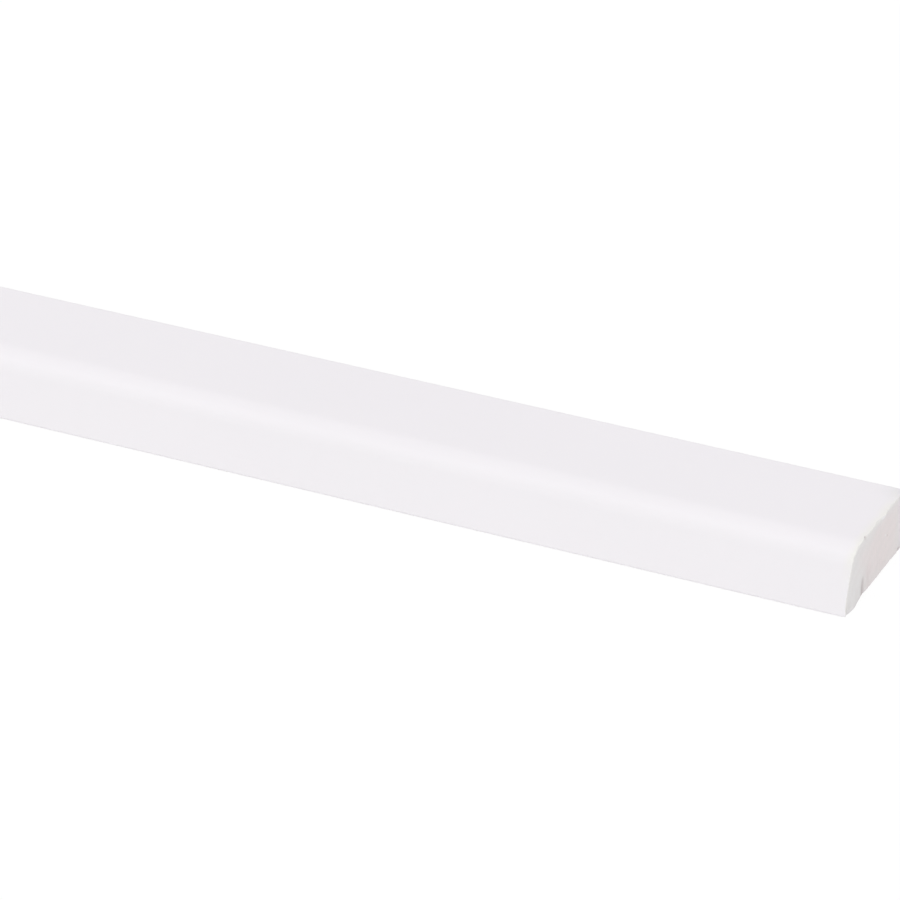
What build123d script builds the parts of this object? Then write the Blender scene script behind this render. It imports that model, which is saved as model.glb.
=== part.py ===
from build123d import *
from math import cos, radians, sin, tan
import os

# Bevelled timber trim strip, one solid of moulded stock, in millimetres.
# The strip lies on its broad back face: +X runs along the length, +Z is up,
# the bevelled front edge faces -Y and the square edge faces +Y.
# The origin is the middle of the back face.

# Stock size
length = 1000.0
width = 30.0          # overall, from the eased toe to the square edge
thickness = 12.0

# Moulded front edge
bevel_lean = 20.0     # degrees that the bevel leans back from upright
nose_radius = 4.0     # tighter curve on top of the bevel
crown_radius = 10.0   # soft curve that carries the nose into the flat face
crown_turn = 20.0     # degrees of the whole turn that the crown takes

# Eased edges
arris_radius = 0.5    # both edges of the square side
toe_radius = 0.3      # foot of the bevel


def bevel_run():
    """Length of the straight bevel, from the sharp toe up to the start of the nose."""
    nose_rise = nose_radius * (cos(radians(crown_turn)) - sin(radians(bevel_lean)))
    crown_rise = crown_radius * (1.0 - cos(radians(crown_turn)))
    return (thickness - nose_rise - crown_rise) / cos(radians(bevel_lean))


def sharp_toe():
    """Where bevel and back face would meet, so that the eased toe keeps the overall width."""
    toe_angle = radians(90.0 - bevel_lean)
    eased_away = toe_radius / tan(toe_angle / 2) - toe_radius
    return Vector(-width / 2 - eased_away, 0.0)


def strip_section():
    """Closed section of the strip in the YZ plane, before its edges are eased."""
    toe = sharp_toe()
    up_the_bevel = Vector(sin(radians(bevel_lean)), cos(radians(bevel_lean)))
    nose_turn = 90.0 - bevel_lean - crown_turn
    with BuildSketch(Plane.YZ) as section:
        with BuildLine():
            bevel = Line(toe, toe + up_the_bevel * bevel_run())
            nose = JernArc(bevel @ 1, bevel % 1, nose_radius, -nose_turn)
            crown = JernArc(nose @ 1, nose % 1, crown_radius, -crown_turn)
            face = Line(crown @ 1, (width / 2, thickness))
            edge = Line(face @ 1, (width / 2, 0.0))
            Line(edge @ 1, toe)
        make_face()
    return section.sketch


# Carry the section along the length, then ease the square side and the toe.
blank = extrude(strip_section(), amount=length / 2, both=True)
square_side = blank.edges().filter_by(Axis.X).group_by(Axis.Y)[-1]
eased = fillet(square_side, radius=arris_radius)
toe_edge = eased.edges().filter_by(Axis.X).sort_by(Axis.Y)[0]
trim_strip = fillet(toe_edge, radius=toe_radius)

os.makedirs("parts", exist_ok=True)
export_step(trim_strip, "parts/trim_strip.step")
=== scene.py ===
# %% [markdown]
# A bevelled timber trim strip
#
# The object is one length of moulded trim: pale timber, planed to a section of 12 by 30 mm, coated
# white on its long faces and sawn square at its ends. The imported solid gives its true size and
# place. This lesson rebuilds its skin as a fine mesh, so that the nose is truly round and the sawn
# ends can be ragged, and then gives the paint and the bare end grain their own finishes.

# %% Load the frame
import math

import bpy
import numpy as np
from mathutils import Matrix, Vector


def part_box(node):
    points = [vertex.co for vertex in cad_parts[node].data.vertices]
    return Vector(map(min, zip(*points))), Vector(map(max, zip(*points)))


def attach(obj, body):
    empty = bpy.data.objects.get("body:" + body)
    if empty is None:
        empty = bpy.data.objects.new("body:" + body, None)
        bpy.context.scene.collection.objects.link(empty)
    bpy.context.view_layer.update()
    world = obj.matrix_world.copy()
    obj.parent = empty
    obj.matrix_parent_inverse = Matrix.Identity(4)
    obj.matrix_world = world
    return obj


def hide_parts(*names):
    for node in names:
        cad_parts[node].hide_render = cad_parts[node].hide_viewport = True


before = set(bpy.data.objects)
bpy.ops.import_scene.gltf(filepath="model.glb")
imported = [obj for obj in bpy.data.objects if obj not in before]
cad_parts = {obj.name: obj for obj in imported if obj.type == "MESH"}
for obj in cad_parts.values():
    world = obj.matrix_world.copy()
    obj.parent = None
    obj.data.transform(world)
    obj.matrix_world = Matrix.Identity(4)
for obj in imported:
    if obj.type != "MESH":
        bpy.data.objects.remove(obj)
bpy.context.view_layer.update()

MM = 0.001
strip_low, strip_high = (np.array(corner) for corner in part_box("trim_strip"))
LENGTH, WIDTH, THICKNESS = strip_high - strip_low
print(f"strip: {LENGTH / MM:.1f} x {WIDTH / MM:.1f} x {THICKNESS / MM:.1f} mm")

# %% [markdown]
# The camera
#
# The picture was taken from close by with a long lens, so the edges of the strip hardly converge.
# A camera could be aimed by eye, but it is exact to work it out: the two angles and the focal
# length in pixels give the direction of every pixel, and one known corner of the strip's box, at the
# toe of the near end, fixes the distance and the framing.

# %% Place the camera
PICTURE_PX = 900
SENSOR_MM = 36.0
AZIMUTH = math.radians(25.63)
ELEVATION = math.radians(28.65)
FOCAL_PX = 5005.0
TOE_DISTANCE = 914.8 * MM
TOE_PIXEL = (846.1, 618.7)

to_right = Vector((math.cos(AZIMUTH), math.sin(AZIMUTH), 0.0))
to_eye = Vector((math.sin(AZIMUTH) * math.cos(ELEVATION),
                 -math.cos(AZIMUTH) * math.cos(ELEVATION),
                 math.sin(ELEVATION)))
to_top = to_eye.cross(to_right)
near_toe = Vector((strip_high[0], strip_low[1], strip_low[2]))
metres_per_px = TOE_DISTANCE / FOCAL_PX
eye = (near_toe + to_eye * TOE_DISTANCE
       - to_right * (TOE_PIXEL[0] - PICTURE_PX / 2) * metres_per_px
       - to_top * (PICTURE_PX / 2 - TOE_PIXEL[1]) * metres_per_px)

camera_data = bpy.data.cameras.new("camera")
camera_data.sensor_width = SENSOR_MM
camera_data.lens = SENSOR_MM * FOCAL_PX / PICTURE_PX
camera = bpy.data.objects.new("camera", camera_data)
axes = Matrix((to_right, to_top, to_eye)).transposed()
camera.matrix_world = Matrix.Translation(eye) @ axes.to_4x4()
bpy.context.scene.collection.objects.link(camera)
bpy.context.scene.camera = camera
print(f"camera: lens {camera_data.lens:.1f} mm, eye at {tuple(round(v, 3) for v in eye)}")

# %% [markdown]
# The section
#
# A moulding machine gives the strip the same section all along. The outline is convex, so it can be
# told as a list of round stretches, each turning the outward normal from one angle to the next,
# with straight lines in between. Going anticlockwise as seen from +X these are the two rear
# arrises, the crown, the nose and the toe. Angles are measured from +Y towards +Z.

# %% Work out the outline
BEVEL_LEAN = math.radians(20.0)
ARRIS_RADIUS = 0.5 * MM
TOE_RADIUS = 0.3 * MM
NOSE_RADIUS = 4.0 * MM
CROWN_RADIUS = 10.0 * MM
CROWN_TURN = math.radians(20.0)
QUARTER = math.pi / 2
FULL_TURN = 2 * math.pi
POINTS_PER_ARC = 25


def toward(angle):
    """Unit vectors in the YZ plane: cosine of the angle along Y, sine along Z."""
    return np.stack([np.cos(angle), np.sin(angle)], axis=-1)


def round_stretches():
    """Centre, radius, first and last normal of each arc.

    The bevel touches the toe and the nose, so along its normal both circles reach equally far;
    that one equation gives the crown's place along Y. The nose's centre lies on the line from the
    crown's centre to the point where the two arcs meet.
    """
    bevel_normal = math.pi - BEVEL_LEAN
    crown_end = QUARTER + CROWN_TURN
    rear_y = WIDTH / 2 - ARRIS_RADIUS
    toe = np.array([TOE_RADIUS - WIDTH / 2, TOE_RADIUS])
    bevel_reach = toe @ toward(bevel_normal) + TOE_RADIUS
    crown_to_nose = (CROWN_RADIUS - NOSE_RADIUS) * toward(crown_end)
    crown_z = THICKNESS - CROWN_RADIUS
    left_for_y = (bevel_reach - NOSE_RADIUS - crown_to_nose @ toward(bevel_normal)
                  - crown_z * math.sin(bevel_normal))
    crown = np.array([left_for_y / math.cos(bevel_normal), crown_z])
    return [
        (np.array([rear_y, ARRIS_RADIUS]), ARRIS_RADIUS, -QUARTER, 0.0),
        (np.array([rear_y, THICKNESS - ARRIS_RADIUS]), ARRIS_RADIUS, 0.0, QUARTER),
        (crown, CROWN_RADIUS, QUARTER, crown_end),
        (crown + crown_to_nose, NOSE_RADIUS, crown_end, bevel_normal),
        (toe, TOE_RADIUS, bevel_normal, 3 * QUARTER),
    ]


stretches = round_stretches()
turns = [np.linspace(first, last, POINTS_PER_ARC) for _, _, first, last in stretches]
normal_angle = np.concatenate(turns)
outline = np.concatenate([centre + radius * toward(turn)
                          for (centre, radius, _, _), turn in zip(stretches, turns)])
print(f"outline: {len(outline)} points, y {outline[:, 0].min() / MM:.2f} to "
      f"{outline[:, 0].max() / MM:.2f} mm, z up to {outline[:, 1].max() / MM:.2f} mm")

# %% [markdown]
# Points around the section
#
# The long faces and the sawn ends have to share their edge points, and a sawn end is easiest to
# sculpt on a grid of rows and columns. So the outline is cut at the middle of its four corners into
# a rear, a face, a bevel and a back, and each side gets evenly spaced points.

# %% Share the outline between four sides
ACROSS = 150
UPWARD = 60
SIDE_STEPS = (UPWARD, ACROSS, UPWARD, ACROSS)

two_laps = np.concatenate([outline, outline, outline[:1]])
two_lap_angles = np.concatenate([normal_angle, normal_angle + FULL_TURN, normal_angle[:1] + 2 * FULL_TURN])
run = np.concatenate([[0.0], np.cumsum(np.linalg.norm(np.diff(two_laps, axis=0), axis=1))])
PERIMETER = run[len(outline)]
toe_middle = (math.pi - BEVEL_LEAN + 3 * QUARTER) / 2
rear_foot, rear_top, nose_middle = -QUARTER / 2, QUARTER / 2, 3 * QUARTER / 2
corner_angles = np.array([rear_foot, rear_top, nose_middle, toe_middle, rear_foot + FULL_TURN])
corner_runs = np.interp(corner_angles, two_lap_angles, run)
ring_run = np.concatenate([np.linspace(start, end, steps, endpoint=False) for start, end, steps
                           in zip(corner_runs[:-1], corner_runs[1:], SIDE_STEPS)])
ring = np.stack([np.interp(ring_run, run, two_laps[:, axis]) for axis in range(2)], axis=-1)
ring_normal = toward(np.interp(ring_run, run, two_lap_angles))
RING = len(ring)
print(f"ring: {RING} points around {PERIMETER / MM:.1f} mm")

# %% [markdown]
# Ragged sawn edges
#
# A saw tears the paint a little where it leaves the wood. Each edge point of an end is therefore set
# back along the strip by a small depth, and the end's own face starts a little further in, which
# leaves a narrow broken chamfer of bare timber all round. A ripple made of sine waves with whole
# numbers of cycles closes on itself around the section. The near end also has its damage where the
# picture shows it: a few larger chips, added as bells, a toe that is knocked round, and burrs where
# the blade came out. The solid's full length is measured over the burrs, and the rest of the sawn
# face stands back from it. The far end is finished plainly, with the ripple alone.

# %% Depth of the broken rim
# The two ends, by the sign of their X
NEAR, FAR = +1, -1
END_NAMES = {NEAR: "near end", FAR: "far end"}
RIM_DEPTH = 0.10 * MM
RIM_RIPPLE = 0.09 * MM
RIM_CYCLES = np.arange(12, 96)
RIM_INSET_SHARE = 0.7
RIM_SEED = 20
# Each chip: its place y and z, its half-width and its depth
CHIP_MM = {
    NEAR: [(1.2, 12.0, 1.2, 0.25), (-5.1, 12.0, 0.5, 0.35), (-8.6, 11.6, 0.9, 0.12), (7.6, 12.0, 1.1, 0.12),
           (8.2, 0.0, 0.8, 0.22), (4.4, 0.0, 1.6, 0.12), (-4.9, 0.0, 1.0, 0.16)],
    FAR: [],
}
SETBACK_MM = {NEAR: 0.45, FAR: 0.0}
# Each burr, and later each pit, painted shadow or toe mark, smeared paint or painted glint, and pink patch:
# its middle y and z and its two half-widths
BURRS_MM = {
    NEAR: [(-11.0, 0.0, 2.6, 2.2), (-15.6, 0.0, 1.3, 2.0), (4.3, 12.6, 0.8, 1.0)],
    FAR: [],
}
TOE_WEAR_MM = {NEAR: 0.12, FAR: 0.0}
TOE_WEAR_SPREAD = 1.2 * MM
TOE_WEAR_REACH = 3.0 * MM


def closed_ripple(seed):
    """A sum of sine waves around the section, with random phases, scaled to run from -1 to 1."""
    random = np.random.default_rng(seed)
    phase = random.uniform(0.0, FULL_TURN, len(RIM_CYCLES))
    strength = random.normal(size=len(RIM_CYCLES)) / np.sqrt(RIM_CYCLES)
    turn = FULL_TURN * ring_run[:, None] / PERIMETER
    wave = (strength * np.sin(turn * RIM_CYCLES + phase)).sum(axis=1)
    return wave / np.abs(wave).max()


def bells(places, marks_mm):
    """The highest of several bells, each 1 at its mark and fading over its half-widths, or else 0."""
    marks = np.array(marks_mm).reshape(-1, 4) * MM
    away = (places[..., None, :] - marks[:, :2]) / marks[:, 2:]
    return np.exp(-(away ** 2).sum(axis=-1)).max(axis=-1, initial=0.0)


def setback(places, side):
    """How far the sawn face stands back: nothing at the top of a burr, the whole setback elsewhere."""
    return SETBACK_MM[side] * MM * (1.0 - bells(places, BURRS_MM[side]))


def rim_depth(side):
    """Base depth plus ripple, plus a bell of given half-width and depth around each chip's place."""
    depth = RIM_DEPTH + RIM_RIPPLE * closed_ripple(RIM_SEED + side)
    for y, z, half_width, chip in CHIP_MM[side]:
        away = np.linalg.norm(ring - np.array([y, z]) * MM, axis=1)
        depth = depth + chip * MM * np.exp(-(away / (half_width * MM)) ** 2)
    return depth


def toe_wear(side):
    """How far each point is knocked in: a bell around the toe, straight in along the toe's middle."""
    away = np.linalg.norm(ring - np.array([-WIDTH / 2, 0.0]), axis=1)
    knock = TOE_WEAR_MM[side] * MM * np.exp(-(away / TOE_WEAR_SPREAD) ** 2)
    return -knock[:, None] * toward(toe_middle)


for side, name in END_NAMES.items():
    depth = rim_depth(side) / MM
    print(f"rim of the {name}: {depth.min():.2f} to {depth.max():.2f} mm deep")

# %% [markdown]
# The long faces
#
# The painted skin is the section carried along the length: a grid with one parameter around the
# section and one along X. Rows crowd together towards both ends, where the detail is, which a
# hyperbolic tangent does in one formula. The planer leaves the faces very slightly wavy, so each
# point also sinks along its normal by a few hundredths of a millimetre.

# %% Carry the section along the length
ROWS = 180
ROW_CROWDING = 3.0
RIM_REACH = 3.0 * MM
WAVE_DEPTH = 0.025 * MM
WAVES_ALONG = np.array([3, 5, 8, 13, 19])
WAVES_AROUND = np.array([1, 2, 3, 4, 5])
WAVE_SEED = 7

spread = np.linspace(-1.0, 1.0, ROWS)
row_x = LENGTH / 2 * np.tanh(ROW_CROWDING * spread) / math.tanh(ROW_CROWDING)


def planed_waves():
    """How far each point sinks: a mean of sine products, whole cycles around, a few along X."""
    random = np.random.default_rng(WAVE_SEED)
    phase = random.uniform(0.0, FULL_TURN, (2, len(WAVES_ALONG)))
    along = np.sin(FULL_TURN * row_x[:, None] / LENGTH * WAVES_ALONG + phase[0])
    around = np.sin(FULL_TURN * ring_run[:, None] / PERIMETER * WAVES_AROUND + phase[1])
    return WAVE_DEPTH * (0.5 + 0.5 * along @ around.T / len(WAVES_ALONG))


def skin_points():
    """Grid of rows by ring points.

    Near an end, x is pulled back by the rim's depth and the toe is knocked in, both fading inwards.
    """
    x = np.repeat(row_x[:, None], RING, axis=1)
    section = ring - ring_normal * planed_waves()[:, :, None]
    for side in END_NAMES:
        from_end = LENGTH / 2 - side * row_x
        rim_fade = np.clip(1.0 - from_end / RIM_REACH, 0.0, 1.0)
        toe_fade = np.clip(1.0 - from_end / TOE_WEAR_REACH, 0.0, 1.0) ** 2
        x -= side * rim_fade[:, None] * (rim_depth(side) + setback(ring, side))
        section += toe_fade[:, None, None] * toe_wear(side)
    return np.concatenate([x[:, :, None], section], axis=2)


skin = skin_points()
row_gaps = np.diff(row_x) / MM
print(f"skin: {ROWS} rows, {row_gaps.min():.2f} mm apart at the ends, {row_gaps.max():.1f} mm in the middle")

# %% [markdown]
# The sawn ends
#
# An end fills the section. A fan of triangles would be quick, but it leaves no even surface to work
# on, so the end is a Coons patch: the four sides are blended into a grid whose border follows the
# outline.

# %% Blend the four sides into a grid
def end_grid(side):
    """Coons patch of the worn outline, moved inwards by a share of the rim's depth.

    Each grid point is the blend between back and face, plus the blend between bevel and rear,
    minus the blend between the four corners, which both of the others already hold.
    """
    inner = ring + toe_wear(side) - ring_normal * (RIM_INSET_SHARE * rim_depth(side))[:, None]
    rear, face, bevel, back = np.split(inner, np.cumsum(SIDE_STEPS)[:-1])
    rear = np.concatenate([rear, face[:1]])
    face = np.concatenate([face, bevel[:1]])[::-1]
    bevel = np.concatenate([bevel, back[:1]])[::-1]
    back = np.concatenate([back, inner[:1]])
    u = np.linspace(0.0, 1.0, ACROSS + 1)[:, None, None]
    v = np.linspace(0.0, 1.0, UPWARD + 1)[None, :, None]
    sides = (1 - v) * back[:, None] + v * face[:, None] + (1 - u) * bevel[None] + u * rear[None]
    corners = ((1 - u) * (1 - v) * back[0] + u * (1 - v) * back[-1]
               + (1 - u) * v * face[0] + u * v * face[-1])
    return sides - corners


print(f"end grid: {ACROSS} by {UPWARD} faces, its border {RIM_INSET_SHARE} of the rim's depth further in")

# %% [markdown]
# What the saw left
#
# The blade leaves shallow arcs about a millimetre apart, and torn fibres fur the surface. On the near
# end there is also a short split that rises from the back edge, and a few small pits where fibres have
# torn out. Both are cut only shallow, and their darkness is painted shade, laid into the timber's
# colour. Beside the split lies a painted shadow, where the split's step would cast one, and at the toe
# a faint darker mark; these two have a colour but no depth. Single cuts would need tools of their own,
# but on a grid each mark is only a depth at every point, so the depths are added up and taken off the
# full length.

# %% Carve an end
SAW_PITCH = 1.15 * MM
SAW_DEPTH = 0.035 * MM
SAW_CENTRE = np.array([140.0, 30.0]) * MM
SAW_WOBBLE = 1.5
SAW_SEED = 40
FIBRE_DEPTH = 0.03 * MM
FIBRE_SPAN = 4.0
FIBRE_WAVES = 40
FIBRE_LENGTHS = (0.5 * MM, 2.5 * MM)
SPLIT_END = NEAR
SPLIT_FOOT = np.array([-5.8, 0.0]) * MM
SPLIT_HEIGHT = 4.1 * MM
SPLIT_HALF_WIDTH = 0.74 * MM
SPLIT_TAPER = 0.1
SPLIT_WANDER = 0.06 * MM
SPLIT_WANDER_LENGTH = 2.3 * MM
SPLIT_BLUNTNESS = 5
SPLIT_DEPTH = 0.15 * MM
# Painted shade: this share lays the split's darkness into the colour. The next two give a painted shadow
# beside the split, where its step would cast one, and a faint darker mark at the toe, both without depth
SPLIT_SHADE = 0.50
SHADOW_AND_MARK_SHARE = 0.08
SHADOW_AND_MARK_MM = {
    NEAR: [(-3.6, 2.6, 1.7, 2.6), (-13.0, 1.2, 1.4, 1.0)],
    FAR: [],
}
# Each pit is cut only shallow, and its darkness is painted shade, by the share below
PIT_DEPTH = 0.35 * MM
PIT_SHADE = 0.65
PITS_MM = {
    NEAR: [(6.4, 6.4, 0.24, 0.20), (-5.1, 11.7, 0.34, 0.26), (12.6, 0.25, 0.54, 0.35)],
    FAR: [],
}


def sawn_relief(grid, seed):
    """Blade arcs, as a cosine of the distance from the blade's centre, plus the fur of the fibres.

    The fur is a sum of sine waves with random headings, lengths and phases. It also makes the arcs
    wobble, by a share of its height.
    """
    random = np.random.default_rng(seed)
    heading = toward(random.uniform(0.0, FULL_TURN, FIBRE_WAVES))
    length = np.exp(random.uniform(*np.log(FIBRE_LENGTHS), FIBRE_WAVES))
    phase = random.uniform(0.0, FULL_TURN, FIBRE_WAVES)
    waves = np.sin(FULL_TURN * (grid @ heading.T) / length + phase)
    fibres = waves.sum(axis=-1) / math.sqrt(FIBRE_WAVES)
    radius = np.linalg.norm(grid - SAW_CENTRE, axis=-1)
    arcs = np.cos(FULL_TURN * radius / SAW_PITCH + SAW_WOBBLE * fibres)
    return SAW_DEPTH * (1 + arcs) / 2 + FIBRE_DEPTH * np.clip(0.5 + fibres / FIBRE_SPAN, 0.0, 1.0)


def split_share(grid):
    """How far into the split a point lies, from 0 to 1.

    Across the split it is a bell that narrows as it rises; the middle wanders from side to side as a
    sine of the height, and a high power of the height ends it.
    """
    height = grid[..., 1] - SPLIT_FOOT[1]
    rise = np.clip(height / SPLIT_HEIGHT, 0.0, 1.0)
    width = SPLIT_HALF_WIDTH * (1.0 - SPLIT_TAPER * rise)
    middle = SPLIT_FOOT[0] + SPLIT_WANDER * np.sin(FULL_TURN * height / SPLIT_WANDER_LENGTH)
    return np.exp(-((grid[..., 0] - middle) / width) ** 2) * (1.0 - rise ** SPLIT_BLUNTNESS)


def end_points(side):
    """The end's grid in 3-D, sunk by all that lies below the full length, and how much painted shade or
    darker mark each point takes.
    """
    grid = end_grid(side)
    split = split_share(grid) if side == SPLIT_END else np.zeros(grid.shape[:2])
    pits = bells(grid, PITS_MM[side])
    shadow_and_mark = bells(grid, SHADOW_AND_MARK_MM[side])
    # Painted shade in the split and the pits, the painted shadow beside the split and the mark at the toe;
    # the strongest counts
    shade_and_mark = np.max([SPLIT_SHADE * split, PIT_SHADE * pits, SHADOW_AND_MARK_SHARE * shadow_and_mark], axis=0)
    relief = sawn_relief(grid, SAW_SEED + side)
    sunk = setback(grid, side) + relief + SPLIT_DEPTH * split + PIT_DEPTH * pits
    x = side * (LENGTH / 2 - sunk)
    return np.concatenate([x[:, :, None], grid], axis=2), shade_and_mark


ends = {side: end_points(side) for side in END_NAMES}
for side, (end, _) in ends.items():
    sunk = (LENGTH / 2 - side * end[..., 0]) / MM
    print(f"{END_NAMES[side]}: sunk by {sunk.min():.2f} to {sunk.max():.2f} mm")

# %% [markdown]
# One closed mesh
#
# The skin, the two ends and the two broken rims are joined into a single closed surface. Separate
# surfaces would be easier, but light would leak between them. Every face is a quad found by index
# arithmetic on the grids, with its corners running anticlockwise as seen from outside.

# %% Join the grids
SKIN_PART = 0
END_POINTS = (ACROSS + 1) * (UPWARD + 1)
skin_index = np.arange(ROWS * RING).reshape(ROWS, RING)
end_number = np.arange(END_POINTS).reshape(ACROSS + 1, UPWARD + 1)
end_index = {NEAR: ROWS * RING + end_number, FAR: ROWS * RING + END_POINTS + end_number}


def border(grid):
    """The border of an end's grid in the ring's order: up the rear, over the face, down, and back."""
    return np.concatenate([grid[-1, :-1], grid[:0:-1, -1], grid[0, :0:-1], grid[:-1, 0]])


def quads(a, b, c, d):
    """Four index arrays of one shape as a list of quads."""
    return np.stack([a, b, c, d], axis=-1).reshape(-1, 4)


following = np.roll(skin_index, -1, axis=1)
skin_quads = quads(skin_index[:-1], following[:-1], following[1:], skin_index[1:])
end_quads, rim_quads = {}, {}
for side, row in ((NEAR, skin_index[-1]), (FAR, skin_index[0])):
    grid = end_index[side]
    edge = border(grid)
    faces = quads(grid[:-1, :-1], grid[1:, :-1], grid[1:, 1:], grid[:-1, 1:])
    rims = quads(row, np.roll(row, -1), np.roll(edge, -1), edge)
    end_quads[side] = faces[:, ::side]
    rim_quads[side] = rims[:, ::side]

points = np.concatenate([skin.reshape(-1, 3)] + [ends[side][0].reshape(-1, 3) for side in END_NAMES])
parts = [skin_quads, rim_quads[NEAR], rim_quads[FAR], end_quads[NEAR], end_quads[FAR]]
faces = np.concatenate(parts)
part_of_face = np.repeat(np.arange(len(parts)), [len(part) for part in parts])
print(f"joined: {len(points)} points, {2 * len(faces)} triangles")

# %% [markdown]
# Into Blender
#
# The arrays go into the mesh whole. The long faces take the paint and all the rest the bare timber.
# Shading is smooth, but it has to stop at a sawn edge, so the two loops at each rim are marked sharp.

# %% Make the mesh
PAINT_SLOT, TIMBER_SLOT = 0, 1

mesh = bpy.data.meshes.new("trim_strip_skin")
mesh.vertices.add(len(points))
mesh.vertices.foreach_set("co", points.ravel())
mesh.loops.add(faces.size)
mesh.loops.foreach_set("vertex_index", faces.ravel())
mesh.polygons.add(len(faces))
mesh.polygons.foreach_set("loop_start", np.arange(0, faces.size, faces.shape[1]))
mesh.polygons.foreach_set("material_index", np.where(part_of_face == SKIN_PART, PAINT_SLOT, TIMBER_SLOT))
mesh.polygons.foreach_set("use_smooth", np.ones(len(faces), dtype=bool))
mesh.update(calc_edges=True)

rim_loops = [skin_index[0], skin_index[-1], border(end_index[NEAR]), border(end_index[FAR])]
loop_of_point = np.zeros(len(points), dtype=int)
for number, loop in enumerate(rim_loops, 1):
    loop_of_point[loop] = number
edge_ends = np.empty(len(mesh.edges) * 2, dtype=int)
mesh.edges.foreach_get("vertices", edge_ends)
edge_loops = loop_of_point[edge_ends.reshape(-1, 2)]
sharp = (edge_loops[:, 0] == edge_loops[:, 1]) & (edge_loops[:, 0] > 0)
mesh.attributes.new("sharp_edge", "BOOLEAN", "EDGE").data.foreach_set("value", sharp)

strip = bpy.data.objects.new("painted_trim_strip", mesh)
bpy.context.scene.collection.objects.link(strip)
print(f"mesh: {len(mesh.edges)} edges, {sharp.sum()} of them sharp")

# %% [markdown]
# What the finishes need to know
#
# A finish can only follow the shape if the mesh tells it something. Some numbers are stored on the
# points: how far a point of an end lies from the painted edge, how much darker the painted shade of a
# hollow, the painted shadow beside the split or the mark at the toe makes it, how pink the timber is
# there, and where paint is smeared over it or a painted glint lightens it. The long faces get the
# thickness of the coat, which is full on the faces that show and thin on the back, and a painted
# shade on one rear corner of the near end, stronger towards the top.

# %% Store attributes for the finishes
BACK_COAT = 0.55
# On the near end: smeared paint at the top edge, coloured greyer as painted shade, and a painted glint, a
# pale dot beside a pit
SMEAR_AND_GLINT_MM = {
    NEAR: [(3.7, 11.9, 1.2, 0.65), (5.2, 7.1, 0.26, 0.26)],
    FAR: [],
}
PINK_MM = {
    NEAR: [(4.0, 6.0, 11.0, 9.0), (-2.6, 4.0, 2.4, 2.6)],
    FAR: [(-3.0, 6.0, 11.0, 9.0), (5.0, 4.0, 3.0, 2.8)],
}
# Painted shade on the rear top corner of the near end, where a rounded corner would fall into shade:
# its middle x and y and its two half-widths
CORNER_SHADE_MM = [(strip_high[0] / MM, strip_high[1] / MM, 3.4, 4.0)]
BACK_FACING = -0.5
BACK_SHARPNESS = 8
STORED = ("from_rim", "shade_and_mark", "smear_and_glint", "pink", "coat", "corner_shade")


def from_paint(places):
    """The shortest distance from each place on an end to the painted part of the outline."""
    painted = ring[ring_normal[:, 1] > BACK_FACING]
    return np.sqrt(((places[:, None] - painted) ** 2).sum(axis=2).min(axis=1))


told = {name: np.zeros(len(points)) for name in STORED}
told["from_rim"][skin_index.ravel()] = np.tile(from_paint(ring), ROWS)
# Painted shade on the rear top corner of the near end, stronger towards the top face
told["corner_shade"][skin_index.ravel()] = (bells(skin[..., :2], CORNER_SHADE_MM) * skin[..., 2] / THICKNESS).ravel()
for side in END_NAMES:
    grid = ends[side][0][..., 1:].reshape(-1, 2)
    place = end_index[side].ravel()
    told["from_rim"][place] = from_paint(grid)
    # Painted shade, painted shadow and the toe mark, from the end's grid
    told["shade_and_mark"][place] = ends[side][1].ravel()
    # Smeared paint and the painted glint
    told["smear_and_glint"][place] = bells(grid, SMEAR_AND_GLINT_MM[side])
    told["pink"][place] = bells(grid, PINK_MM[side])
back_facing = np.clip(-ring_normal[:, 1], 0.0, 1.0) ** BACK_SHARPNESS
told["coat"][skin_index.ravel()] = np.tile(1.0 - (1.0 - BACK_COAT) * back_facing, ROWS)
for name, values in told.items():
    mesh.attributes.new(name, "FLOAT", "POINT").data.foreach_set("value", values)
    print(f"attribute {name}: {values.min():.4f} to {values.max():.4f}")

# %% [markdown]
# A flat layout
#
# Programs that can't run node patterns need them baked into a picture, and for that the surface is
# laid out flat. Left to itself, the layout would give a metre of strip one thin line. Here the long
# faces are cut into three bands that lie one above the other, and the two ends, which are small but
# carry the finest detail, are drawn at about five times the scale.

# %% Lay the surface out flat
BANDS = 3
BAND_MARGIN = 10.0 * MM
BAND_HEIGHT, BAND_STEP = 0.244, 0.250
RIM_STRIP_FOOT, RIM_STRIP_HEIGHT, RIM_STRIP_STEP = 0.756, 0.010, 0.015
END_FOOT, END_BREADTH, END_STEP = 0.790, 0.48, 0.5
LAYOUT_EDGE = 0.004

band_length = LENGTH / BANDS
skin_corner_x = points[skin_quads][:, :, 0]
band = np.floor((skin_corner_x.mean(axis=1) + LENGTH / 2) / band_length)
band_middle = (band + 0.5) * band_length - LENGTH / 2
along = (skin_corner_x - band_middle[:, None]) / (band_length + 2 * BAND_MARGIN) + 0.5
column = np.tile(np.arange(RING), ROWS - 1)
run_marks = np.append(ring_run, ring_run[0] + PERIMETER) - ring_run[0]
start_run, end_run = run_marks[column], run_marks[column + 1]
around = np.stack([start_run, end_run, end_run, start_run], axis=1) / PERIMETER
skin_uv = np.stack([along, LAYOUT_EDGE + band[:, None] * BAND_STEP + around * BAND_HEIGHT], axis=-1)


def rim_layout(side, number):
    """A rim unrolled into a thin strip: the run around the section by the two loops."""
    first, last = run_marks[:-1], run_marks[1:]
    across = np.stack([first, last, last, first], axis=1) / PERIMETER
    upward = np.tile([0.0, 0.0, 1.0, 1.0], (RING, 1)) * RIM_STRIP_HEIGHT
    foot = RIM_STRIP_FOOT + number * RIM_STRIP_STEP
    flat = np.stack([LAYOUT_EDGE + across * (1 - 2 * LAYOUT_EDGE), foot + upward], axis=-1)
    return flat[:, ::side]


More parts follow.
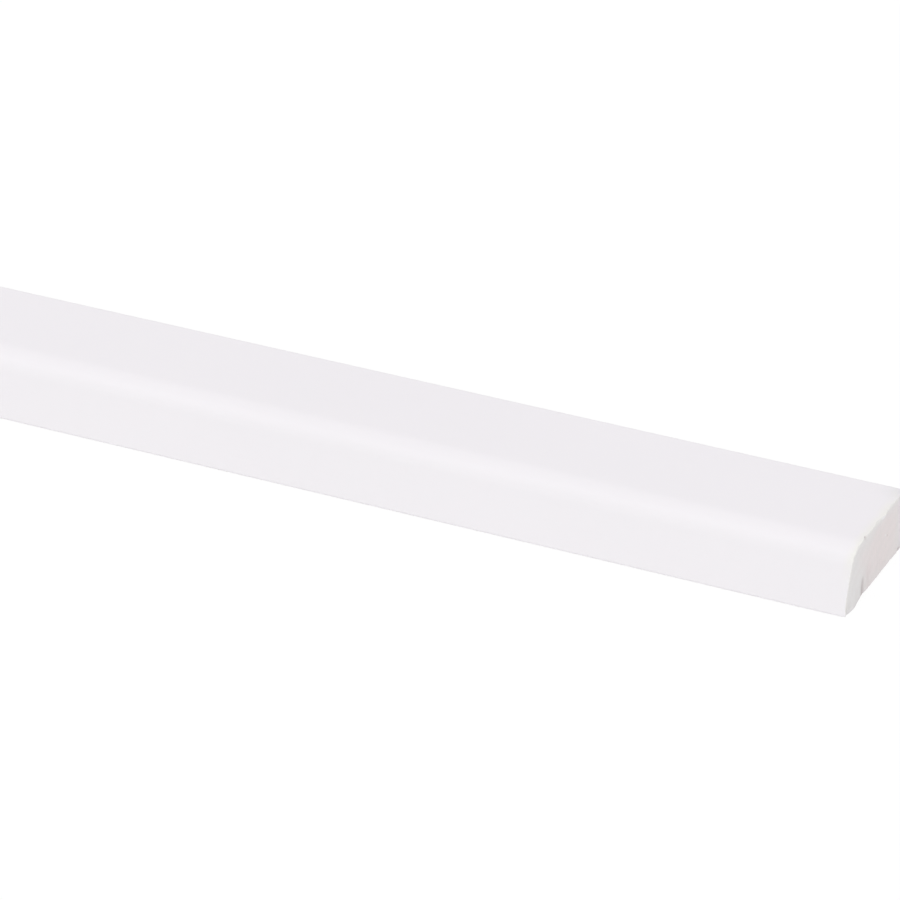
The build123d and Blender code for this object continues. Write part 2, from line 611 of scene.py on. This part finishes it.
def end_layout(side, number):
    """An end as it is seen, at its own scale."""
    places = points[end_quads[side]][:, :, 1:] - np.array([-WIDTH / 2, 0.0])
    return places * (END_BREADTH / WIDTH) + np.array([LAYOUT_EDGE + number * END_STEP, END_FOOT])


layout = np.concatenate([skin_uv, rim_layout(NEAR, 0), rim_layout(FAR, 1),
                         end_layout(NEAR, 0), end_layout(FAR, 1)])
mesh.uv_layers.new(name="OFBake").data.foreach_set("uv", layout.reshape(-1))
print(f"layout: u {layout[..., 0].min():.3f} to {layout[..., 0].max():.3f}, "
      f"v {layout[..., 1].min():.3f} to {layout[..., 1].max():.3f}")

# %% [markdown]
# Helpers for the finishes
#
# A finish is a small network of nodes. One function adds any node: keyword settings go on the node
# itself, and the dictionary fills its inputs, either with a value or with the output to link. A
# second turns a colour as it is written on the web into the linear numbers that the shader wants,
# and a third turns a real size in millimetres into the scale of a pattern.

# %% Node and colour helpers
def add(tree, kind, inputs=None, **settings):
    """Add one node, set its properties, and fill or link its inputs by name or number."""
    node = tree.nodes.new(kind)
    for name, value in settings.items():
        setattr(node, name, value)
    for name, value in (inputs or {}).items():
        if isinstance(value, bpy.types.NodeSocket):
            tree.links.new(value, node.inputs[name])
        else:
            node.inputs[name].default_value = value
    return node


def linear(hex_colour):
    """The sRGB curve undone: small values divide by 12.92, the rest follow a power of 2.4."""
    srgb = np.array([int(hex_colour[i:i + 2], 16) for i in (1, 3, 5)]) / 255
    low, high = srgb / 12.92, ((srgb + 0.055) / 1.055) ** 2.4
    return (*np.where(srgb <= 0.04045, low, high), 1.0)


def per_metre(size_mm):
    """A pattern that repeats every so many millimetres, as repeats to the metre."""
    return 1.0 / (size_mm * MM)


def new_material(name):
    """An empty node material with its output."""
    material = bpy.data.materials.new(name)
    material.use_nodes = True
    material.node_tree.nodes.clear()
    output = material.node_tree.nodes.new("ShaderNodeOutputMaterial")
    return material, material.node_tree, output


MIDDLE_GREY = "#808080"
print(f"middle grey {MIDDLE_GREY} reflects {linear(MIDDLE_GREY)[0]:.3f} of the light")

# %% [markdown]
# Satin white paint on planed timber
#
# The coat is a sprayed acrylic paint: a very pale grey-white with a trace of violet, a soft sheen,
# and nothing that draws the eye. Close to, the grain below still shows as fine lines along the
# strip, the spray has left a slight orange peel, and the white drifts a little from place to place.
# Along the upper part of the sawn edges the coat is bruised, and the timber below turns it to cream.
# One flat white would look like plastic, so the colour is built up in layers, as the real coat is.

# %% Paint patterns
BRUISE_REACH_MM, BRUISE_HEIGHTS_MM = 2.8, (5.0, 8.0)
BRUISE_PATCH_MM, BRUISE_RANGE = 6.0, (0.30, 0.50)
GRAIN_LONG_MM, GRAIN_WIDE_MM, GRAIN_DETAIL, GRAIN_RELIEF_MM = 55.0, 0.8, 3.0, 0.012
PEEL_MM, PEEL_DETAIL, PEEL_RELIEF_MM = 1.6, 1.0, 0.004
PAINT_RELIEF = 1.0


def bruise_share(tree, place):
    """How bruised the coat is: more towards the sawn ends, less below, and broken into patches."""
    axis = add(tree, "ShaderNodeSeparateXYZ", {"Vector": place}).outputs
    from_middle = add(tree, "ShaderNodeMath", {0: axis["X"]}, operation="ABSOLUTE")
    near_end = add(tree, "ShaderNodeMapRange", {
        "Value": from_middle.outputs[0], "From Min": LENGTH / 2 - BRUISE_REACH_MM * MM,
        "From Max": LENGTH / 2}, interpolation_type="SMOOTHSTEP")
    high_up = add(tree, "ShaderNodeMapRange", {
        "Value": axis["Z"], "From Min": BRUISE_HEIGHTS_MM[0] * MM, "From Max": BRUISE_HEIGHTS_MM[1] * MM,
        "To Max": near_end.outputs["Result"]})
    patches = add(tree, "ShaderNodeTexNoise", {"Vector": place, "Scale": per_metre(BRUISE_PATCH_MM)})
    patchy = add(tree, "ShaderNodeMapRange", {
        "Value": patches.outputs["Fac"], "From Min": BRUISE_RANGE[0], "From Max": BRUISE_RANGE[1],
        "To Max": high_up.outputs["Result"]})
    return patchy.outputs["Result"]


def paint_relief(tree, place):
    """Bumps on bumps: grain lines, stretched along the strip, and the spray's orange peel over them."""
    lengthwise = add(tree, "ShaderNodeMapping", {"Vector": place, "Scale": (
        per_metre(GRAIN_LONG_MM), per_metre(GRAIN_WIDE_MM), per_metre(GRAIN_WIDE_MM))})
    grain = add(tree, "ShaderNodeTexNoise", {
        "Vector": lengthwise.outputs[0], "Scale": 1.0, "Detail": GRAIN_DETAIL})
    peel = add(tree, "ShaderNodeTexNoise", {
        "Vector": place, "Scale": per_metre(PEEL_MM), "Detail": PEEL_DETAIL})
    grain_relief = add(tree, "ShaderNodeBump", {
        "Height": grain.outputs["Fac"], "Distance": GRAIN_RELIEF_MM * MM, "Strength": PAINT_RELIEF})
    both = add(tree, "ShaderNodeBump", {
        "Height": peel.outputs["Fac"], "Distance": PEEL_RELIEF_MM * MM, "Strength": PAINT_RELIEF,
        "Normal": grain_relief.outputs[0]})
    return both.outputs[0]


print(f"paint: grain lines {GRAIN_WIDE_MM} mm wide, orange peel {PEEL_MM} mm")

# %% Paint
PAINT = "#F1EDF2"
PAINT_DRIFT = "#EFEBF0"
BRUISED_PAINT = "#EFECE9"
TIMBER_GLOW = "#E9DFD2"
# Painted shade: a greyer white for the rear top corner of the near end, where a rounded corner would shade
# the paint
PAINTED_CORNER_SHADE = "#E3E1E4"
DRIFT_MM, DRIFT_DETAIL = 45.0, 2.0
SHEEN_RANGE = (0.36, 0.46)
PAINT_IOR = 1.5


def satin_white_paint():
    """Principled paint with relief, a sheen that drifts, and layers of colour.

    Each layer covers what is below it by its share: a drifting white, the timber's glow where the
    coat is thin, the cream of the bruises, and the painted shade on one rear corner.
    """
    material, tree, output = new_material("satin_white_paint_on_timber")
    place = add(tree, "ShaderNodeTexCoord").outputs["Object"]
    drift = add(tree, "ShaderNodeTexNoise", {
        "Vector": place, "Scale": per_metre(DRIFT_MM), "Detail": DRIFT_DETAIL}).outputs["Fac"]
    coat = add(tree, "ShaderNodeAttribute", attribute_name="coat").outputs["Fac"]
    thin = add(tree, "ShaderNodeMapRange", {"Value": coat, "From Min": 1.0, "From Max": 0.0})
    # Painted shade on one rear corner of the near end
    corner_shade = add(tree, "ShaderNodeAttribute", attribute_name="corner_shade").outputs["Fac"]
    colour = linear(PAINT)
    for layer, share in ((PAINT_DRIFT, drift), (TIMBER_GLOW, thin.outputs["Result"]),
                         (BRUISED_PAINT, bruise_share(tree, place)), (PAINTED_CORNER_SHADE, corner_shade)):
        mix = add(tree, "ShaderNodeMix", {"Factor": share, "A": colour, "B": linear(layer)},
                  data_type="RGBA")
        colour = mix.outputs["Result"]
    sheen = add(tree, "ShaderNodeMapRange", {
        "Value": drift, "To Min": SHEEN_RANGE[0], "To Max": SHEEN_RANGE[1]})
    shader = add(tree, "ShaderNodeBsdfPrincipled", {
        "Base Color": colour, "Roughness": sheen.outputs["Result"], "IOR": PAINT_IOR,
        "Normal": paint_relief(tree, place)})
    tree.links.new(shader.outputs[0], output.inputs["Surface"])
    return material


paint = satin_white_paint()
mesh.materials.append(paint)
print(f"{paint.name}: {len(paint.node_tree.nodes)} nodes")

# %% [markdown]
# Sawn end grain
#
# The bare ends are a pale, close softwood. Across a section this small the growth rings are only a
# hint, and the saw has furred them over, so the eye sees a grey-white with pinkish patches, upright
# streaks left by the blade, a plainer grey along the painted edge where the coat has soaked in, a
# haze of paint at the very rim, and smeared paint, coloured a greyer white as painted shade. Painted
# shade darkens the split and the pits, a painted shadow lies beside the split, a faint darker mark
# sits at the toe, and a painted glint lightens a dot beside one pit. Each of these is a share from 0
# to 1, worked out by itself, and the colours are then laid one over the other.

# %% End grain patterns
PATCH_MM, PATCH_DETAIL, PINK_RANGE = 5.0, 2.0, (0.55, 1.45)
RING_MM, RING_SHARE = 2.6, 0.22
RING_WOBBLE, RING_WOBBLE_DETAIL, RING_WOBBLE_SCALE = 2.0, 2.0, 1.5
PITH_MM = (0.0, 22.0, -38.0)
# At a scale of 1 a wave texture runs through 20 radians to the metre
WAVE_RINGS_PER_SCALE = 20.0 / FULL_TURN
STREAK_WIDE_MM, STREAK_TALL_MM, STREAK_DETAIL = 0.9, 6.0, 2.0
STREAK_RANGE, STREAK_SHARE = (0.48, 0.72), 0.25


def pink_share(tree, place):
    """Where the timber is pink: the stored patches plus a noise, with a soft edge."""
    stored = add(tree, "ShaderNodeAttribute", attribute_name="pink").outputs["Fac"]
    noise = add(tree, "ShaderNodeTexNoise", {
        "Vector": place, "Scale": per_metre(PATCH_MM), "Detail": PATCH_DETAIL})
    patchy = add(tree, "ShaderNodeMath", {0: stored, 1: noise.outputs["Fac"]}, operation="ADD")
    soft = add(tree, "ShaderNodeMapRange", {
        "Value": patchy.outputs[0], "From Min": PINK_RANGE[0], "From Max": PINK_RANGE[1]},
        interpolation_type="SMOOTHSTEP")
    return soft.outputs["Result"]


def ring_share(tree, place):
    """Growth rings round a pith that lies below the strip, as a wave of the distance from it."""
    from_pith = add(tree, "ShaderNodeMapping", {
        "Vector": place, "Location": tuple(-v * MM for v in PITH_MM)})
    rings = add(tree, "ShaderNodeTexWave", {
        "Vector": from_pith.outputs[0], "Scale": per_metre(RING_MM) / WAVE_RINGS_PER_SCALE,
        "Distortion": RING_WOBBLE, "Detail": RING_WOBBLE_DETAIL, "Detail Scale": RING_WOBBLE_SCALE},
        wave_type="RINGS", rings_direction="X")
    faint = add(tree, "ShaderNodeMath", {0: rings.outputs["Fac"], 1: RING_SHARE}, operation="MULTIPLY")
    return faint.outputs[0]


def streak_share(tree, place):
    """Upright streaks: a noise that is stretched upwards, of which only the high parts count."""
    upright = add(tree, "ShaderNodeMapping", {"Vector": place, "Scale": (
        per_metre(STREAK_TALL_MM), per_metre(STREAK_WIDE_MM), per_metre(STREAK_TALL_MM))})
    streak = add(tree, "ShaderNodeTexNoise", {
        "Vector": upright.outputs[0], "Scale": 1.0, "Detail": STREAK_DETAIL})
    high_parts = add(tree, "ShaderNodeMapRange", {
        "Value": streak.outputs["Fac"], "From Min": STREAK_RANGE[0], "From Max": STREAK_RANGE[1],
        "To Max": STREAK_SHARE})
    return high_parts.outputs["Result"]


print(f"end grain: rings {RING_MM} mm apart, streaks {STREAK_WIDE_MM} mm wide")

# %% End grain
TIMBER_GREY = "#DFDCDE"
TIMBER_PINK = "#E1D8DA"
TIMBER_RING = "#D8D3D4"
SOAKED_EDGE = "#DDDADC"
EDGE_HAZE = "#E6E3E2"
# Smeared paint in a greyer white, as painted shade, also used for a painted glint beside a pit
SHADED_SMEAR_AND_GLINT = "#E8E5E8"
# Painted shade: the colour for the split and the pits, for the painted shadow beside the split, and for the
# faint mark at the toe
PAINTED_SHADE_AND_MARK = "#9A8A8D"
SOAK_MM, SOAK_SHARE = 2.0, 0.8
HAZE_MM, HAZE_SHARE = 0.9, 0.7
SMEAR_AND_GLINT_RANGE = (0.35, 0.55)
# Single fibres are a tenth of this and too fine to show, so the fur is drawn coarser
FUR_MM, FUR_DETAIL, FUR_RELIEF_MM, FUR_STRENGTH = 0.28, 3.0, 0.03, 0.6
TIMBER_ROUGHNESS = 0.85
TIMBER_SHINE = 0.25


def sawn_end_grain():
    """Principled timber with furred relief and layers of colour.

    Each layer covers what is below it by its share: pink, rings, streaks, the soaked edge, the haze
    of paint, the painted shade of hollows with the painted shadow and the toe mark, and the smeared
    paint, greyer as painted shade, with the painted glint.
    """
    material, tree, output = new_material("sawn_softwood_end_grain")
    place = add(tree, "ShaderNodeTexCoord").outputs["Object"]
    from_rim, shade_and_mark, smear_and_glint = (add(tree, "ShaderNodeAttribute", attribute_name=name).outputs["Fac"]
                             for name in ("from_rim", "shade_and_mark", "smear_and_glint"))
    soak = add(tree, "ShaderNodeMapRange", {
        "Value": from_rim, "From Min": SOAK_MM * MM, "From Max": 0.0, "To Max": SOAK_SHARE},
        interpolation_type="SMOOTHSTEP")
    haze = add(tree, "ShaderNodeMapRange", {
        "Value": from_rim, "From Min": HAZE_MM * MM, "From Max": 0.0, "To Max": HAZE_SHARE})
    # Smeared paint, greyer as painted shade, and the painted glint, with a soft edge
    smear_and_glint_edge = add(tree, "ShaderNodeMapRange", {
        "Value": smear_and_glint, "From Min": SMEAR_AND_GLINT_RANGE[0], "From Max": SMEAR_AND_GLINT_RANGE[1]},
        interpolation_type="SMOOTHSTEP")
    colour = linear(TIMBER_GREY)
    for layer, share in ((TIMBER_PINK, pink_share(tree, place)), (TIMBER_RING, ring_share(tree, place)),
                         (TIMBER_RING, streak_share(tree, place)), (SOAKED_EDGE, soak.outputs["Result"]),
                         (EDGE_HAZE, haze.outputs["Result"]), (PAINTED_SHADE_AND_MARK, shade_and_mark),
                         (SHADED_SMEAR_AND_GLINT, smear_and_glint_edge.outputs["Result"])):
        mix = add(tree, "ShaderNodeMix", {"Factor": share, "A": colour, "B": linear(layer)},
                  data_type="RGBA")
        colour = mix.outputs["Result"]
    fur = add(tree, "ShaderNodeTexNoise", {
        "Vector": place, "Scale": per_metre(FUR_MM), "Detail": FUR_DETAIL})
    relief = add(tree, "ShaderNodeBump", {
        "Height": fur.outputs["Fac"], "Distance": FUR_RELIEF_MM * MM, "Strength": FUR_STRENGTH})
    shader = add(tree, "ShaderNodeBsdfPrincipled", {
        "Base Color": colour, "Roughness": TIMBER_ROUGHNESS, "Specular IOR Level": TIMBER_SHINE,
        "Normal": relief.outputs[0]})
    tree.links.new(shader.outputs[0], output.inputs["Surface"])
    return material


timber = sawn_end_grain()
mesh.materials.append(timber)
print(f"{timber.name}: {len(timber.node_tree.nodes)} nodes")

# %% [markdown]
# Floor and surroundings
#
# The strip lies on a plain white floor. Lighting a floor until it burns out would wash the strip out
# too, so the floor and the sky are pale to the light that reaches the strip, and only what the
# camera sees of them, straight or in a reflection, is lifted to white. The floor mixes that lift
# with its own shading, so a soft shadow stays.

# %% Floor
FLOOR_HALF = 40.0
CORNER_SIGNS = ((-1, -1), (1, -1), (1, 1), (-1, 1))
FLOOR_GREY = "#EDEDED"
FLOOR_LIFT = 0.85
FLOOR_WHITE = 1.05


def seen_by_eye(tree):
    """1 where a ray comes from the camera, from a gloss or through glass, else 0."""
    path = add(tree, "ShaderNodeLightPath").outputs
    straight_or_shiny = add(tree, "ShaderNodeMath", {
        0: path["Is Camera Ray"], 1: path["Is Glossy Ray"]}, operation="MAXIMUM")
    any_of_them = add(tree, "ShaderNodeMath", {
        0: straight_or_shiny.outputs[0], 1: path["Is Transmission Ray"]}, operation="MAXIMUM")
    return any_of_them.outputs[0]


def white_floor():
    """Diffuse floor, with a share of plain white light mixed in for the eye alone."""
    material, tree, output = new_material("white_floor")
    share = add(tree, "ShaderNodeMath", {0: seen_by_eye(tree), 1: FLOOR_LIFT}, operation="MULTIPLY")
    shade = add(tree, "ShaderNodeBsdfDiffuse", {"Color": linear(FLOOR_GREY)})
    lift = add(tree, "ShaderNodeEmission", {"Strength": FLOOR_WHITE})
    mix = add(tree, "ShaderNodeMixShader", {0: share.outputs[0], 1: shade.outputs[0], 2: lift.outputs[0]})
    tree.links.new(mix.outputs[0], output.inputs["Surface"])
    return material


floor_mesh = bpy.data.meshes.new("floor")
floor_corners = [(x * FLOOR_HALF, y * FLOOR_HALF, strip_low[2]) for x, y in CORNER_SIGNS]
floor_mesh.from_pydata(floor_corners, [], [tuple(range(len(floor_corners)))])
floor_mesh.materials.append(white_floor())
floor = bpy.data.objects.new("floor", floor_mesh)
bpy.context.scene.collection.objects.link(floor)
print(f"floor: {2 * FLOOR_HALF:.0f} m square, at z = {strip_low[2] / MM:.2f} mm")

# %% Sky
SKY_COLOUR = "#FFFFFF"
SKY_LIGHT = 0.60
SKY_WHITE = 1.0

world = bpy.data.worlds.new("white_room")
world.use_nodes = True
world.node_tree.nodes.clear()
sky_strength = add(world.node_tree, "ShaderNodeMapRange", {
    "Value": seen_by_eye(world.node_tree), "To Min": SKY_LIGHT, "To Max": SKY_WHITE})
sky = add(world.node_tree, "ShaderNodeBackground", {
    "Color": linear(SKY_COLOUR), "Strength": sky_strength.outputs["Result"]})
add(world.node_tree, "ShaderNodeOutputWorld", {"Surface": sky.outputs[0]})
bpy.context.scene.world = world
print(f"sky: {SKY_LIGHT} to the strip, {SKY_WHITE} to the eye")

# %% [markdown]
# Lamps
#
# Two broad, soft lamps stand far away, so that a metre of strip is lit evenly from end to end. One is
# overhead, a little to the left: its reflection is the pale band along the nose. The other is in
# front, on the side of the near end, and lights the bevel and that end. They are suns with a wide
# angle, which act as large soft boxes. The front one is kept out of reflections: seen from behind,
# at a low angle, its glare would bleach the whole top face.

# %% Lamps
LAMPS = {
    "soft_box_overhead": {"toward": (-0.38, 0.18, 0.91), "strength": 0.64, "angle": 75.0,
                          "colour": "#FFFFFF", "reflected": True},
    "soft_box_front": {"toward": (0.68, -0.60, 0.42), "strength": 1.38, "angle": 60.0,
                       "colour": "#FBFFF9", "reflected": False},
}
for name, lamp in LAMPS.items():
    lamp_data = bpy.data.lights.new(name, "SUN")
    lamp_data.energy = lamp["strength"]
    lamp_data.angle = math.radians(lamp["angle"])
    lamp_data.color = linear(lamp["colour"])[:3]
    lamp_object = bpy.data.objects.new(name, lamp_data)
    lamp_object.visible_glossy = lamp["reflected"]
    lamp_object.rotation_mode = "QUATERNION"
    lamp_object.rotation_quaternion = Vector(lamp["toward"]).to_track_quat("Z", "Y")
    bpy.context.scene.collection.objects.link(lamp_object)
    print(f"lamp {name}: strength {lamp['strength']}, {lamp['angle']:.0f} degrees wide")

bpy.context.scene.view_settings.view_transform = "Standard"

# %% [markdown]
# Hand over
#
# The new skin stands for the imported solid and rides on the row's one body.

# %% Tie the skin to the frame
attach(strip, "root")
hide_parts("trim_strip")
